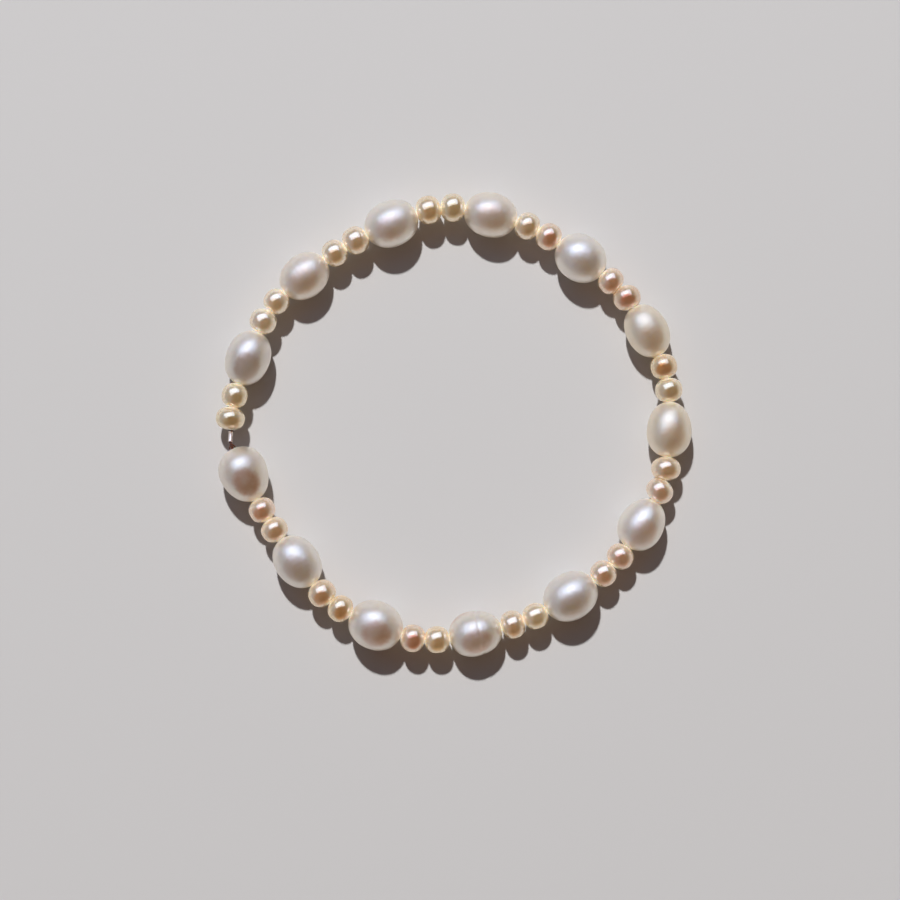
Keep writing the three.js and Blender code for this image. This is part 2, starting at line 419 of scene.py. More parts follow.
def add_material(name: str) -> tuple[Material, NodeTree, Node]:
    """Makes a material.

    Args:
        name: Its name.

    Returns:
        The material, its node tree and its Principled shader.
    """
    made = bpy.data.materials.new(name)
    made.use_nodes = True
    return made, made.node_tree, made.node_tree.nodes["Principled BSDF"]


class NacreClouds:
    """A node group that gives nacre its deeper patches with their painted core shade, its soft
    overtones, its painted glow and its faint relief.

    NOISES names the socket of each noise's scale and gives its detail. Each pair of edges holds
    the values that become 0 and 1.
    """

    NAME = "nacre_clouds"
    COLOUR = "NodeSocketColor"
    FLOAT = "NodeSocketFloat"
    INPUTS = {
        "Body": (0.8, 0.8, 0.8, 1.0),
        # Deeper patch colour; on the main patch it is painted shade of the mirrored core.
        "Blush and core shade": (0.8, 0.7, 0.7, 1.0),
        "Overtone": (0.8, 0.8, 0.8, 1.0),
        "Overtone share": 0.6,
        # Pale colour painted at the ends where pearls meet, both in the base colour and in the
        # glow: painted light.
        "Glow end colour": (0.97, 0.90, 0.78, 1.0),
        # Colour of an emission that paints the light passing through the nacre.
        "Inner light": (0.2, 0.15, 0.07, 1.0),
        "Ring count": 60.0,
        "Cloud size": 420.0,
        "Ripple size": 2100.0,
        "Seed": 0.0,
    }
    OUTPUTS = {"Colour": COLOUR, "Glow": COLOUR, "Cloud": FLOAT, "Glow end mask": FLOAT, "Ripple": FLOAT}
    NOISES = (("Cloud size", 2.0), ("Ripple size", 3.0))
    CLOUD_IN_BLUSH_AND_CORE_SHADE = 0.9
    RIPPLE_IN_BLUSH_AND_CORE_SHADE = 0.5
    RING_SWAY = 9.0
    RING_HEIGHT = 0.1
    BLUSH_AND_CORE_SHADE_EDGES = (0.6, 1.75)
    TINT_EDGES = (0.33, 0.72)
    LIT_EDGES = (0.4, 1.0)

    @classmethod
    def group(cls) -> NodeTree:
        """Returns the group, built the first time that it is asked for."""
        found = bpy.data.node_groups.get(cls.NAME)
        return found or cls.build()

    @classmethod
    def build(cls) -> NodeTree:
        """Builds the group.

        The deeper colour follows the skin's own patch values, broken up by broad and by fine
        noise. Its main patch is painted shade of the core that the pearl mirrors from the dark
        room above.
        Broad noise then mixes in the overtone, and the values near the holes mix in a pale colour
        at the ends, where pearls meet, which paints the light there. The glow is an emission that
        paints light: the inner light's colour, and that pale colour close to the holes.
        The height is finer noise plus waves that run round the pearl like growth rings.

        Returns:
            The new node group.
        """
        tree = bpy.data.node_groups.new(cls.NAME, "ShaderNodeTree")
        for name, value in cls.INPUTS.items():
            kind = cls.COLOUR if isinstance(value, tuple) else cls.FLOAT
            socket = tree.interface.new_socket(name, in_out="INPUT", socket_type=kind)
            socket.default_value = value
        for name, kind in cls.OUTPUTS.items():
            tree.interface.new_socket(name, in_out="OUTPUT", socket_type=kind)
        inside = tree.nodes.new("NodeGroupInput").outputs
        outside = tree.nodes.new("NodeGroupOutput")
        place = add_node(tree, "TexCoord").outputs["Object"]
        cloud, ripple = (
            add_node(
                tree,
                "TexNoise",
                {"Vector": place, "Scale": inside[scale], "Detail": detail, "W": inside["Seed"]},
                noise_dimensions="4D",
            ).outputs
            for scale, detail in cls.NOISES
        )
        # Mask of the ends where pearls meet, where the colour is painted paler and glows: painted
        # light.
        ends = attribute(tree, "glow_ends")
        # Patches of deeper colour; the main one is painted shade of the core mirrored from above.
        patch = attribute(tree, "blush_and_core_shade")
        sway = sum_up(tree, "MULTIPLY_ADD", cloud["Fac"], cls.CLOUD_IN_BLUSH_AND_CORE_SHADE, patch)
        mottle = sum_up(tree, "MULTIPLY_ADD", ripple["Fac"], cls.RIPPLE_IN_BLUSH_AND_CORE_SHADE, sway)
        broken = soft_range(tree, mottle, *cls.BLUSH_AND_CORE_SHADE_EDGES)
        blushed_and_shaded = mix(tree, broken, inside["Body"], inside["Blush and core shade"])
        tint = soft_range(tree, cloud["Color"], *cls.TINT_EDGES)
        share = sum_up(tree, "MULTIPLY", tint, inside["Overtone share"])
        toned = mix(tree, share, blushed_and_shaded, inside["Overtone"])
        lit = soft_range(tree, ends, *cls.LIT_EDGES)
        phase = sum_up(tree, "MULTIPLY", attribute(tree, "along"), inside["Ring count"])
        bent = sum_up(tree, "MULTIPLY_ADD", cloud["Fac"], cls.RING_SWAY, phase)
        ring = sum_up(tree, "SINE", bent)
        # The colour holds the pale painted light at the ends; the glow is an emission, painted
        # light through the nacre and at the ends.
        set_inputs(outside, {
            "Colour": mix(tree, ends, toned, inside["Glow end colour"]),
            "Glow": mix(tree, lit, inside["Inner light"], inside["Glow end colour"]),
            "Cloud": tint,
            "Glow end mask": ends,
            "Ripple": sum_up(tree, "MULTIPLY_ADD", ring, cls.RING_HEIGHT, ripple["Fac"]),
        })
        return tree


@dataclass(frozen=True)
class NacreFinish:
    """The finish of one kind of nacre.

    Attributes:
        body: Its main colour.
        blush_and_core_shade: The deeper colour of its patches. On the main patch it is painted
            shade: the darker core that the pearl mirrors from the room above.
        overtone: The colour of its faint clouds.
        haze: Roughness of its gloss.
        relief: Depth of its faint ripples.
        through: Share of the painted glow that shows away from the ends. The glow is an emission
            that stands in for light passing through the nacre.
        mirror: How much of it is mirror gloss, from 0 to 1.
        glow_end_mirror: How much of that is left at the ends, where pearls meet and the painted
            glow lies.
        glow: How much of the rest goes under the skin, from 0 to 1.
        inner_light: Strength of its painted glow, an emission that stands in for light passing
            through the nacre. It shows in full at the ends where pearls meet.
        inner: Colour of that painted glow away from the ends.
        evenness: How much of a pearl's own depth its main colour takes on.
        haze_spread: Roughness where the clouds are thinnest and thickest, as shares of the haze.
        ripple_strength: How strongly the ripples tell, from 0 to 1.
    """

    body: Colour
    blush_and_core_shade: Colour
    overtone: Colour
    haze: float
    relief: float
    through: float
    mirror: float = 0.85
    glow_end_mirror: float = 0.1
    glow: float = 0.9
    # The pearl glows by emission: painted light that stands in for light through the nacre.
    inner_light: float = 0.28
    inner: Colour = (1.0, 0.72, 0.36)
    evenness: float = 0.18
    haze_spread: Pair = (0.9, 1.15)
    ripple_strength: float = 0.8

    def deepened(self, colour: Colour, depth: float) -> tuple[float, float, float, float]:
        """Returns the colour with each channel to the power of the depth, and full alpha."""
        return (*(channel ** depth for channel in colour), 1.0)

    def material(self, name: str, seed: float, depth: float) -> Material:
        """Makes the finish's material for one pearl.

        Args:
            name: The material's name.
            seed: Where in the noise this pearl's clouds are taken from.
            depth: How deep this pearl's patch colour and painted core shade are, 1 for the
                finish's own.

        Returns:
            The new material.
        """
        made, tree, shader = add_material(name)
        mild = 1 + (depth - 1) * self.evenness
        # Painted glow away from the ends, an emission standing in for light through the nacre.
        inner = (channel * self.through for channel in self.inner)
        colours = {
            "Body": self.deepened(self.body, mild),
            # Patch colour; on the main patch it is painted core shade.
            "Blush and core shade": self.deepened(self.blush_and_core_shade, depth),
            "Overtone": self.deepened(self.overtone, mild),
            "Inner light": (*inner, 1.0),
            "Seed": seed,
        }
        clouds = add_node(tree, "Group", colours, node_tree=NacreClouds.group()).outputs
        low, high = (self.haze * share for share in self.haze_spread)
        # Less mirror at the ends, where the painted glow lies.
        glow_ends = self.mirror * self.glow_end_mirror
        set_inputs(shader, {
            "Base Color": clouds["Colour"],
            # Painted light: the pearl glows by emission, most at the ends where pearls meet.
            "Emission Color": clouds["Glow"],
            "Roughness": spread(tree, clouds["Cloud"], low, high),
            "Metallic": spread(tree, clouds["Glow end mask"], self.mirror, glow_ends),
            "Normal": bump(tree, clouds["Ripple"], self.ripple_strength, self.relief),
            "Specular Tint": (1.0, 0.97, 0.92, 1.0),
            "IOR": 1.56,
            "Coat Weight": 0.25,
            "Coat Roughness": 0.14,
            "Coat IOR": 1.45,
            "Subsurface Weight": self.glow,
            "Subsurface Radius": (1.0, 0.7, 0.45),
            "Subsurface Scale": 1.2 * MM,
            "Emission Strength": self.inner_light,
        })
        return made


# Haze, relief and share of the painted glow away from the ends, of the large pearls and of the
# small ones.
SOFT = (0.41, 0.02 * MM, 0.22)
CRISP = (0.17, 0.005 * MM, 0.32)
FINISHES = {tone: NacreFinish(*finish) for tone, finish in {
    Tone.SILVER: ((0.86, 0.84, 0.81), (0.75, 0.67, 0.63), (0.79, 0.78, 0.80), *SOFT),
    Tone.WARM_WHITE: ((0.88, 0.84, 0.79), (0.81, 0.66, 0.57), (0.85, 0.79, 0.75), *SOFT),
    Tone.ROSE_WHITE: ((0.87, 0.85, 0.81), (0.78, 0.61, 0.55), (0.82, 0.78, 0.78), *SOFT),
    Tone.CHAMPAGNE: ((0.88, 0.82, 0.73), (0.88, 0.69, 0.53), (0.85, 0.78, 0.65), *SOFT),
    Tone.CREAM: ((0.84, 0.77, 0.66), (0.83, 0.57, 0.34), (0.86, 0.72, 0.62), *CRISP),
    Tone.GOLD: ((0.84, 0.75, 0.60), (0.82, 0.51, 0.23), (0.87, 0.71, 0.56), *CRISP),
    Tone.OLIVE_GOLD: ((0.81, 0.74, 0.59), (0.70, 0.51, 0.27), (0.84, 0.70, 0.59), *CRISP),
    Tone.COPPER_ROSE: ((0.84, 0.74, 0.64), (0.80, 0.41, 0.26), (0.87, 0.67, 0.61), *CRISP),
    Tone.PEACH: ((0.84, 0.75, 0.63), (0.82, 0.50, 0.29), (0.88, 0.70, 0.58), *CRISP),
}.items()}


@dataclass(frozen=True)
class PearlLook:
    """What tells one pearl from the others of its size.

    Attributes:
        tone: Its kind of nacre.
        depth: How deep its patch colour and painted core shade are, 1 for the finish's own.
        groove_at: Where a growth groove runs round it, as a share from mouth to mouth. At 0
            there is none.
    """

    tone: Tone
    depth: float = 1.0
    groove_at: float = 0.0


@dataclass
class Pearl:
    """One drilled pearl, made as a closed skin round its bore.

    Attributes:
        node: The model's node that it stands for.
        solid: Where that node lies.
        look: What tells it from the others.
        seed: Picks this pearl's own small irregularities.
        around: Points round the axis.
        rows: Rows from mouth to mouth.
        bore: Radius of the drilled hole.
        rim: Radius of the softened edge of the hole's mouth.
        rim_rows: Rows round that edge.
        reach: How much longer it is than the solid at each end, so that neighbours meet.
        fullness: Bends the ends from a half ellipse (1) towards a blunter form (less).
        flatness: Bends the sides from a half ellipse (1) towards a flatter form (less).
        oval: Share by which its round section is squeezed one way.
        lumps: Share by which its skin swells and sinks in broad waves.
        waves: How often each wave swells round the pearl, and along it.
        groove_depth: Depth of a growth groove, as a share of the radius.
        groove_width: Half the width of a growth groove, as a share of the length.
        patch_towards: Where the main patch points, in the world. It lies on top, a little to the
            near side, and paints the darker core that the pearl mirrors from the room above.
        patch_stray: How far each pearl's main patch may stray from there.
        patch_edges: Cosines of the angles at which a blush patch starts and is full.
        lower_patches: How many weaker patches point down.
        lower_heights: Least and greatest upward part of their directions.
        lower_strengths: Least and greatest strength that they have.
        glow_end_width: How far from the hole the painted glow at the ends reaches.
        glow_end_power: How fast that painted glow fades on its way, 1 for evenly.
        bore_edge: Share of the bore's radius up to which a point lies inside the hole.
        rests: Whether it rests on the surface under the loop.
    """

    node: str
    solid: StrungSolid
    look: PearlLook
    seed: int
    around: int
    rows: int
    bore: float = 0.36 * MM
    rim: float = 0.05 * MM
    rim_rows: int = 3
    reach: float = 0.073 * MM
    fullness: float = 0.96
    flatness: float = 1.0
    oval: float = 0.02
    lumps: float = 0.012
    waves: tuple[tuple[int, int], ...] = ((1, 1), (2, 1), (3, 2), (1, 3), (2, 3))
    groove_depth: float = 0.022
    groove_width: float = 0.035
    # The main patch is painted shade: the darker core that the pearl mirrors from the room above.
    patch_towards: Triple = (0.06, -0.30, 0.95)
    patch_stray: float = 0.1
    patch_edges: Pair = (0.74, 0.95)
    lower_patches: int = 3
    lower_heights: Pair = (-1.0, -0.2)
    lower_strengths: Pair = (0.4, 0.9)
    # Reach and fade of the painted glow at the ends.
    glow_end_width: float = 1.45 * MM
    glow_end_power: float = 1.5
    bore_edge: float = 1.001
    rests: bool = True

    def outline(self) -> tuple[Array, Array]:
        """Works out the pearl's outline beside its axis.

        Outside, the distance from the axis is the radius times the sine of an angle to the
        power of the fullness, and the place along the axis is the reach to that end times the
        cosine to the power of the flatness. A quarter circle rounds each mouth, and the bore
        runs straight back.

        Returns:
            The places along the axis, from the first mouth, and the distances from it.
        """
        length = self.solid.length + 2 * self.reach
        widest = self.solid.length * self.solid.widest + self.reach
        mouth = self.bore + self.rim
        first = math.asin((mouth / self.solid.radius) ** (1 / self.fullness))
        angle = np.linspace(first, math.pi - first, self.rows)
        reach = np.where(angle < math.pi / 2, widest, length - widest)
        lean = np.cos(angle) / math.cos(first)
        along = widest - reach * np.sign(lean) * np.abs(lean) ** self.flatness
        out = self.solid.radius * np.sin(angle) ** self.fullness
        turn = np.linspace(0, math.pi / 2, self.rim_rows + 1)[1:]
        rim_out = mouth - self.rim * np.sin(turn)
        rim_in = self.rim * (1 - np.cos(turn))
        along = np.concatenate([along, length - rim_in, rim_in[::-1]])
        out = np.concatenate([out, rim_out, rim_out[::-1]])
        return along, out

    def relief(self, around: Array, share: Array) -> Array:
        """Works out how far the skin sinks below the perfect form, as a share of the radius.

        It is a squeeze by the squared sine of the angle round the axis, and a few broad cosine
        waves that run round and along the pearl, all fading to nothing at the mouths. A groove
        is a bell curve of the distance from its place along the pearl.

        Args:
            around: Angle round the axis for each column.
            share: Place from mouth to mouth for each row, from 0 to 1.

        Returns:
            The share for each row and column, never below zero.
        """
        chance = np.random.default_rng(self.seed)
        fade = np.sin(np.pi * np.clip(share, 0, 1))[:, None]
        turn = chance.uniform(0, 2 * np.pi)
        sunk = self.oval * np.sin(around[None, :] - turn) ** 2 * fade
        for waves_around, waves_along in self.waves:
            phase, drift = chance.uniform(0, 2 * np.pi, 2)
            height = self.lumps / (waves_around + waves_along - 1)
            wave = np.cos(waves_around * around + phase)[None, :]
            wave = wave * np.cos(waves_along * np.pi * share + drift)[:, None]
            sunk = sunk + height * (wave + 1) / 2 * fade
        if self.look.groove_at:
            groove = np.exp(-((share - self.look.groove_at) / self.groove_width) ** 2)
            sunk = sunk + self.groove_depth * groove[:, None]
        return sunk

    def blush_and_core_shade(self, around: Array, share: Array, out: Array) -> Array:
        """Works out where the deeper colour of the nacre lies, with the painted shade of its core.

        The main patch lies almost on top, where it paints shade: the darker core that the pearl
        mirrors from the room above. The lower ones point down. Each depends on the cosine of the
        angle between its own direction and the point's, once the pearl is squeezed to a ball. It
        rises smoothly between the two patch edges.

        Args:
            around: Angle round the axis for each column.
            share: Place from mouth to mouth for each row, from 0 to 1.
            out: Distance from the axis for each row.

        Returns:
            The deeper colour, with the painted core shade, for each row and column, from 0 to 1.
        """
        chance = np.random.default_rng(self.seed + BLUSH_AND_CORE_SHADE_SEED)
        across = (out / self.solid.radius)[:, None]
        along = np.broadcast_to(2 * share[:, None] - 1, (len(share), len(around)))
        points = np.stack([across * np.cos(around), across * np.sin(around), along], axis=-1)
        points = points / np.linalg.norm(points, axis=-1, keepdims=True)
        # Painted shade: the main patch lies where the dark mirrored core shows from above.
        main = np.stack(self.solid.directions) @ np.array(self.patch_towards)
        main[1:] += chance.uniform(-self.patch_stray, self.patch_stray, 2)
        patches = [(main, 1.0)]
        for _ in range(self.lower_patches):
            height = chance.uniform(*self.lower_heights)
            direction = np.array([height, *chance.uniform(-1.0, 1.0, 2)])
            patches.append((direction, chance.uniform(*self.lower_strengths)))
        low, high = self.patch_edges
        most = np.zeros(points.shape[:2])
        for direction, strength in patches:
            rise = np.clip((points @ unit(direction) - low) / (high - low), 0, 1)
            most = np.maximum(most, strength * rise * rise * (3 - 2 * rise))
        return most

    def glow_ends(self, out: Array) -> Array:
        """Works out the painted glow at the ends, where pearls meet, which fades out away from the
        hole's mouth.

        Inside the hole there is no glow.

        Args:
            out: Distance from the axis for each row.

        Returns:
            The painted glow for each row, from 0 to 1.
        """
        # Painted glow: full at the hole's mouth, fading outward.
        fade = np.clip((out - self.bore) / self.glow_end_width, 0, 1)
        return np.where(out > self.bore * self.bore_edge, (1 - fade) ** self.glow_end_power, 0.0)

    def build(self) -> Object:
        """Builds the pearl's mesh in its place, let down onto the surface if it rests there.

        Returns:
            The new object.
        """
        along, out = self.outline()
        length = self.solid.length + 2 * self.reach
        around = angles(self.around)
        share = along / length
        outside = np.arange(len(along)) < self.rows
        sunk = np.where(outside[:, None], self.relief(around, share), 0.0)
        top, side, axis = self.solid.directions
        ring = np.cos(around)[:, None] * top + np.sin(around)[:, None] * side
        radius = out[:, None] * (1 - sunk)
        start = self.solid.start - self.reach * axis
        grid = start + along[:, None, None] * axis + radius[:, :, None] * ring[None, :, :]
        if self.rests:
            grid[:, :, 2] -= grid[:, :, 2].min()
        fields = {
            # Deeper colour, whose main patch is painted core shade.
            "blush_and_core_shade": self.blush_and_core_shade(around, share, out),
            "along": np.broadcast_to(share[:, None], sunk.shape),
            # Painted glow at the ends where pearls meet.
            "glow_ends": np.broadcast_to(self.glow_ends(out)[:, None], sunk.shape),
        }
        return sheet_mesh(f"{self.node}_skin", grid, True, fields)

    def dress(self, piece: Object) -> None:
        """Gives the pearl its nacre and ties it to the model.

        Args:
            piece: The pearl's object.
        """
        finish = FINISHES[self.look.tone]
        made = finish.material(f"{self.node}_nacre", float(self.seed), self.look.depth)
        piece.data.materials.append(made)
        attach(piece, BODY)
        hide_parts(self.node)


LARGE_LOOKS = tuple(PearlLook(*look) for look in (
    (Tone.SILVER, 2.2),
    (Tone.WARM_WHITE, 1.2),
    (Tone.ROSE_WHITE, 0.8),
    (Tone.WARM_WHITE, 1.0),
    (Tone.SILVER, 0.8),
    (Tone.CHAMPAGNE, 0.9),
    (Tone.CHAMPAGNE, 1.0),
    (Tone.ROSE_WHITE, 0.9),
    (Tone.SILVER, 1.2),
    (Tone.ROSE_WHITE, 1.5, 0.42),
    (Tone.ROSE_WHITE, 1.9),
    (Tone.SILVER, 1.4),
    (Tone.ROSE_WHITE, 2.3),
))
SMALL_LOOKS = tuple(PearlLook(*look) for look in (
    (Tone.OLIVE_GOLD, 1.25), (Tone.OLIVE_GOLD, 1.0),
    (Tone.CREAM, 0.6), (Tone.CREAM, 1.0),
    (Tone.CREAM, 1.0), (Tone.PEACH, 0.7),
    (Tone.GOLD, 0.9), (Tone.OLIVE_GOLD, 0.8),
    (Tone.CREAM, 1.2), (Tone.COPPER_ROSE, 1.8),
    (Tone.COPPER_ROSE, 1.5), (Tone.COPPER_ROSE, 2.5),
    (Tone.GOLD, 2.2), (Tone.OLIVE_GOLD, 1.1),
    (Tone.PEACH, 0.9), (Tone.COPPER_ROSE, 0.8),
    (Tone.COPPER_ROSE, 1.7), (Tone.COPPER_ROSE, 1.0),
    (Tone.GOLD, 0.5), (Tone.PEACH, 1.1),
    (Tone.GOLD, 1.0), (Tone.COPPER_ROSE, 2.3),
    (Tone.GOLD, 1.9), (Tone.PEACH, 1.9),
    (Tone.PEACH, 1.4), (Tone.COPPER_ROSE, 1.4),
))


@dataclass
class PearlString:
    """All the pearls of the loop.

    Attributes:
        order: The solids on the thread.
        large_around: Points round a large pearl.
        large_rows: Rows along a large pearl.
        small_around: Points round a small pearl.
        small_rows: Rows along a small pearl.
        small_fullness: How blunt the small pearls' ends are.
        small_flatness: How flat the small pearls' sides are.
        small_seed: What is added to a small pearl's number for its own irregularities.
    """

    order: StringOrder
    large_around: int = 96
    large_rows: int = 80
    small_around: int = 72
    small_rows: int = 56
    small_fullness: float = 0.86
    small_flatness: float = 0.92
    small_seed: int = 100

    def build(self) -> list[Object]:
        """Builds and dresses every pearl.

        Returns:
            The pearls' objects.
        """
        made = []
        for number, look in enumerate(LARGE_LOOKS, start=1):
            name = f"large_pearl_{number:02d}"
            solid = self.order.read(name)
            made.append(Pearl(name, solid, look, number, self.large_around, self.large_rows))
        for number, look in enumerate(SMALL_LOOKS, start=1):
            name = f"small_pearl_{number:02d}"
            solid = self.order.read(name)
            seed = self.small_seed + number
            made.append(Pearl(
                name, solid, look, seed, self.small_around, self.small_rows,
                fullness=self.small_fullness, flatness=self.small_flatness, rests=False,
            ))
        pieces = []
        for pearl in made:
            piece = pearl.build()
            pearl.dress(piece)
            pieces.append(piece)
        return pieces


@dataclass(frozen=True)
class CrimpMetal:
    """Polished silvery metal with fine handling marks.

    Attributes:
        colour: Its colour.
        roughness: Roughness of its gloss.
        spread: How much less and more rough the marks make it, as shares.
    """

    colour: Colour = srgb(253, 240, 232)
    roughness: float = 0.25
    spread: Pair = (0.7, 1.4)

    def material(self) -> Material:
        """Makes the metal's material.

        Returns:
            The new material.
        """
        made, tree, shader = add_material("crimp_metal_polished")
        place = add_node(tree, "TexCoord").outputs["Object"]
        noise = add_node(tree, "TexNoise", {"Vector": place, "Scale": 4000.0, "Detail": 2.0})
        marks = noise.outputs["Fac"]
        low, high = (self.roughness * share for share in self.spread)
        set_inputs(shader, {
            "Base Color": (*self.colour, 1.0),
            "Metallic": 1.0,
            "Roughness": spread(tree, marks, low, high),
            "Normal": bump(tree, marks, 0.2, 0.02 * MM),
        })
        return made


@dataclass(frozen=True)
class ThreadFibre:
    """Dark coppery thread with a waxed sheen and fine twisted strands, with painted shade between
    the strands.

    Attributes:
        dark: Its colour between the strands, near black: painted shade in the grooves.
        light: Its colour on the strands.
        roughness: Roughness of its gloss.
    """

    dark: Colour = (0.006, 0.002, 0.0015)
    light: Colour = (0.17, 0.045, 0.015)
    roughness: float = 0.22

    def material(self) -> Material:
        """Makes the thread's material.

        Returns:
            The new material.
        """
        made, tree, shader = add_material("thread_waxed")
        strands = sum_up(tree, "PINGPONG", attribute(tree, "twist"), 1.0)
        set_inputs(shader, {
            # Painted shade: near black in the grooves between the strands.
            "Base Color": mix(tree, strands, (*self.dark, 1.0), (*self.light, 1.0)),
            "Roughness": self.roughness,
            "Coat Weight": 0.4,
            "Normal": bump(tree, strands, 0.5, 0.02 * MM),
        })
        return made


@dataclass
class CrimpTube:
    """The small metal tube that holds the thread's ends.

    Attributes:
        solid: Where its node lies.
        outer: Its outer radius.
        reach: How much longer it is than the solid at each end.
        wall: Thickness of its wall.
        around: Points round the axis.
        lip_rows: Rows round each softened lip.
        body_rows: Rows along the outside, and along the bore.
        pinch: Share by which it is squeezed flat in the middle.
    """

    solid: StrungSolid
    outer: float = 0.28 * MM
    reach: float = 0.12 * MM
    wall: float = 0.08 * MM
    around: int = 48
    lip_rows: int = 6
    body_rows: int = 24
    pinch: float = 0.06

    def build(self) -> Object:
        """Builds the tube.

        Its outline beside the axis runs along the outside, round a half circle as thick as the
        wall, back along the bore and round the other half circle. A squeeze that is greatest
        half way along flattens it a little.

        Returns:
            The new object.
        """
        bore = self.outer - self.wall
        length = self.solid.length + 2 * self.reach
        lip = self.wall / 2
        straight = np.linspace(lip, length - lip, self.body_rows)
        turn = np.linspace(-math.pi / 2, math.pi / 2, self.lip_rows + 2)[1:-1]
        middle = (self.outer + bore) / 2
        along = np.concatenate([
            straight, length - lip + lip * np.cos(turn),
            straight[::-1], lip - lip * np.cos(turn),
        ])
        out = np.concatenate([
            np.full(self.body_rows, self.outer), middle - lip * np.sin(turn),
            np.full(self.body_rows, bore), middle + lip * np.sin(turn),
        ])
        angle = angles(self.around)
        top, side, axis = self.solid.directions
        squeeze = 1 - self.pinch * np.sin(np.pi * along / length) ** 2
        grid = self.solid.start + (along[:, None, None] - self.reach) * axis
        grid = grid + (out * squeeze)[:, None, None] * np.sin(angle)[None, :, None] * side
        grid = grid + out[:, None, None] * np.cos(angle)[None, :, None] * top
        return sheet_mesh("crimp_tube_polished", grid, True, {})

    def dress(self, piece: Object) -> None:
        """Gives the tube its metal and ties it to the model.

        Args:
            piece: The tube's object.
        """
        piece.data.materials.append(CrimpMetal().material())
        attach(piece, BODY)
        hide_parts("crimp_tube")


KNOT_ROUTES = (
    ((-0.08, 0.70, 0.02), (-0.26, 0.47, 0.10), (-0.13, 0.30, 0.18), (0.10, 0.12, 0.19),
     (0.31, -0.04, 0.12), (0.50, -0.20, 0.04)),
    ((0.02, 0.70, 0.06), (0.05, 0.46, 0.05), (-0.08, 0.22, 0.01), (-0.18, -0.04, 0.04),
     (-0.23, -0.26, 0.06), (-0.26, -0.44, 0.03)),
    ((-0.20, 0.38, -0.04), (-0.06, 0.16, -0.03), (0.01, -0.10, 0.03), (0.04, -0.32, 0.05),
     (0.10, -0.50, 0.02)),
)
END_ROUTE = ((-0.24, 0.03, 0.02), (-0.17, 0.05, 0.26), (0.0, 0.06, 0.40), (0.16, 0.03, 0.36),
             (0.27, -0.04, 0.18), (0.29, -0.12, -0.04))


@dataclass
class Thread:
    """The thread through every pearl, the knot below the crimp tube and the cut end above it.

    Attributes:
        order: The solids on the thread.
        diameter: The thread's diameter.
        sides: Points round the thread.
        steps: Path points for each point of its route.
        stops: Where along each solid its route has a point, as shares of the length.
        fibre_pitch: Length along the thread in which its fibres show once.
        fibre_turns: How many fibres lie round it.
    """

    order: StringOrder
    diameter: float = 0.22 * MM
    sides: int = 12
    steps: int = 8
    stops: tuple[float, ...] = (0.15, 0.5, 0.85)
    fibre_pitch: float = 0.12 * MM
    fibre_turns: int = 4

    def strand(self) -> Array:
        """Works out the thread's path from inside the crimp tube round to it again.

        Returns:
            The path's points.
        """
        solids = [self.order.read(name) for name in self.order.names]
        route = np.array([
            solid.start + stop * (solid.end - solid.start)
            for solid in solids
            for stop in self.stops
        ])
        path = smooth_path(route, self.steps, True)
        return np.roll(path, -self.steps, axis=0)[1:-1]

    def build(self) -> list[Object]:
        """Builds the thread, its knot and its cut end.

        The routes of the knot and of the end are given in millimetres to the right, towards
        the far side and up. They start from the middle of the thread's bare stretch and from
        the middle of the crimp tube's upper mouth.

        Returns:
            The thread's object and those of the knot and the end.
        """
        crimp = self.order.read("crimp_tube")
        pearl = self.order.read(self.order.names[-1])
        lower, upper = sorted((crimp.start, crimp.end), key=lambda point: point[1])
        middle = (lower + pearl.end) / 2
        paths = {"thread_strand": self.strand()}
        for number, route in enumerate(KNOT_ROUTES, start=1):
            paths[f"thread_knot_{number}"] = middle + self.curve(route)
        paths["thread_end"] = upper + self.curve(END_ROUTE)
        pieces = []
        for name, path in paths.items():
            grid, turns = self.tube(path)
            pieces.append(sheet_mesh(name, grid, False, {"twist": turns}))
        return pieces

    def curve(self, route: tuple[Triple, ...]) -> Array:
        """Returns the smooth path through a route that is given in millimetres."""
        return smooth_path(np.array(route) * MM, self.steps, False)

    def tube(self, path: Array) -> tuple[Array, Array]:
        """Makes a strand's surface and the values that its fibres are drawn by.

        The values grow along the strand and round it, so that equal ones wind round it.

        Args:
            path: The strand's path.

        Returns:
            The surface's points and the values at them.
        """
        steps = np.linalg.norm(np.diff(path, axis=0), axis=1)
        run = np.concatenate([[0.0], np.cumsum(steps)])
        turns = run[:, None] / self.fibre_pitch
        turns = turns + self.fibre_turns * np.arange(self.sides)[None, :] / self.sides
        return swept(path, self.diameter / 2, self.sides), turns

    def dress(self, pieces: list[Object]) -> None:
        """Gives the thread its fibre and ties it to the model.

        Args:
            pieces: The thread's object and those of the knot and the end.
        """
        fibre = ThreadFibre().material()
        for piece in pieces:
            piece.data.materials.append(fibre)
            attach(piece, BODY)
        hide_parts("thread")


@dataclass(frozen=True)
class Lamp:
    """One area light.

    Attributes:
        name: Its name.
        direction: Towards it from the loop.
        distance: How far away it hangs, in metres.
        size: Its width and height. Both are the same for a disc.
        power: Its power in watts.
        colour: Its colour.
        shown: The surfaces that it lights.
        turn: How far a rectangle is turned about its direction. A disc has none.
    """

    name: str
    direction: Triple
    distance: float
    size: Pair
    power: float
    colour: Colour
    shown: Shown
    turn: float = 0.0

    def hang(self) -> None:
        """Hangs the light so that it faces the loop."""
        data = bpy.data.lights.new(self.name, "AREA")
        data.shape = "RECTANGLE" if self.turn else "DISK"
        data.size, data.size_y = self.size
        data.energy = self.power
        data.color = self.colour
        made = add_object(self.name, data)
        made.visible_diffuse = self.shown is not Shown.GLOSS
        made.visible_glossy = self.shown is not Shown.MATT
        direction = Vector(self.direction).normalized()
        made.location = direction * self.distance
        made.rotation_mode = "QUATERNION"
        aim = direction.to_track_quat("Z", "Y")
        made.rotation_quaternion = aim @ Quaternion(UP, self.turn)


